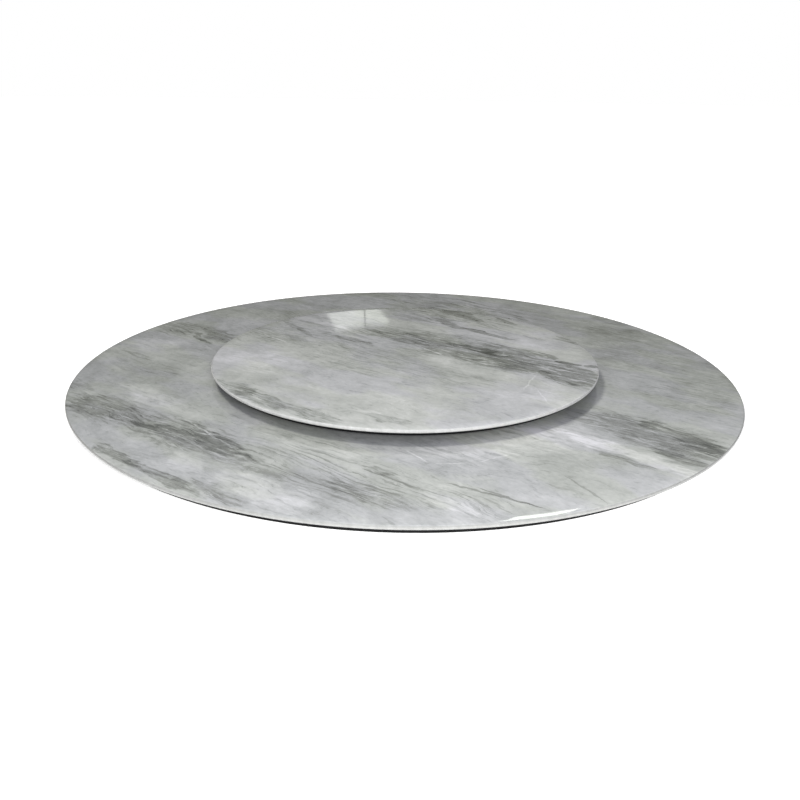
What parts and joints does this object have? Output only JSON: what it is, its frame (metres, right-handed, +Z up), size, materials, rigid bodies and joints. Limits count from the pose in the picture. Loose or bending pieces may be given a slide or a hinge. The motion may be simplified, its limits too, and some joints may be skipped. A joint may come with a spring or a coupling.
{
  "type": "dining table top with lazy susan",
  "caption": "Round polished stone dining table top with a stone turntable on a ball-bearing ring; its stiffened underboard bolts to a pedestal.",
  "frame": {"origin": "centre of the underside, in the plane that the table top lies on", "axes": "+Z up, along the turntable's axis; the stiffeners lie along X and Y"},
  "size_m": [1.4998, 1.4998, 0.053],
  "materials": {
    "polished_stone": "polished, grey with diagonal veining and near-white ground edges",
    "sealed_plywood": "black sealed",
    "edge_banding": "satin black",
    "powder_coated_steel": "fine-textured black powder coat",
    "zinc_plated_steel": "zinc plated",
    "anodised_aluminium": "turned and clear anodised",
    "bearing_steel": "polished",
    "nylon": "natural nylon",
    "rubber": "matt black"
  },
  "bodies": {
    "tabletop": {"table_slab": "polished_stone", "table_underboard": "sealed_plywood", "table_edge_band": "edge_banding", "pedestal_plate": "powder_coated_steel", "weld_nuts": "zinc_plated_steel", "plate_screws": "zinc_plated_steel", "stiffener_1": "powder_coated_steel", "stiffener_2": "powder_coated_steel", "stiffener_3": "powder_coated_steel", "stiffener_4": "powder_coated_steel", "stiffener_screws": "zinc_plated_steel", "rubber_feet": "rubber", "outer_race_base": "anodised_aluminium", "outer_race_cover": "anodised_aluminium", "cover_screws": "zinc_plated_steel"},
    "ball_train": {"ball_cage": "nylon", "bearing_balls": "bearing_steel"},
    "turntable": {"inner_race": "anodised_aluminium", "inner_race_screws": "zinc_plated_steel", "turntable_backer": "sealed_plywood", "turntable_edge_band": "edge_banding", "turntable_slab": "polished_stone"}
  },
  "joints": [
    {"name": "turntable_spin", "type": "hinge", "parent": "tabletop", "child": "turntable", "pos_m": [0, 0, 0.0303], "axis": [0, 0, 1], "continuous": true},
    {"name": "ball_train_spin", "type": "hinge", "parent": "tabletop", "child": "ball_train", "pos_m": [0, 0, 0.0303], "axis": [0, 0, 1], "continuous": true}
  ],
  "couplings": [
    {"joint": "ball_train_spin", "follows": "turntable_spin", "ratio": 0.4954}
  ]
}
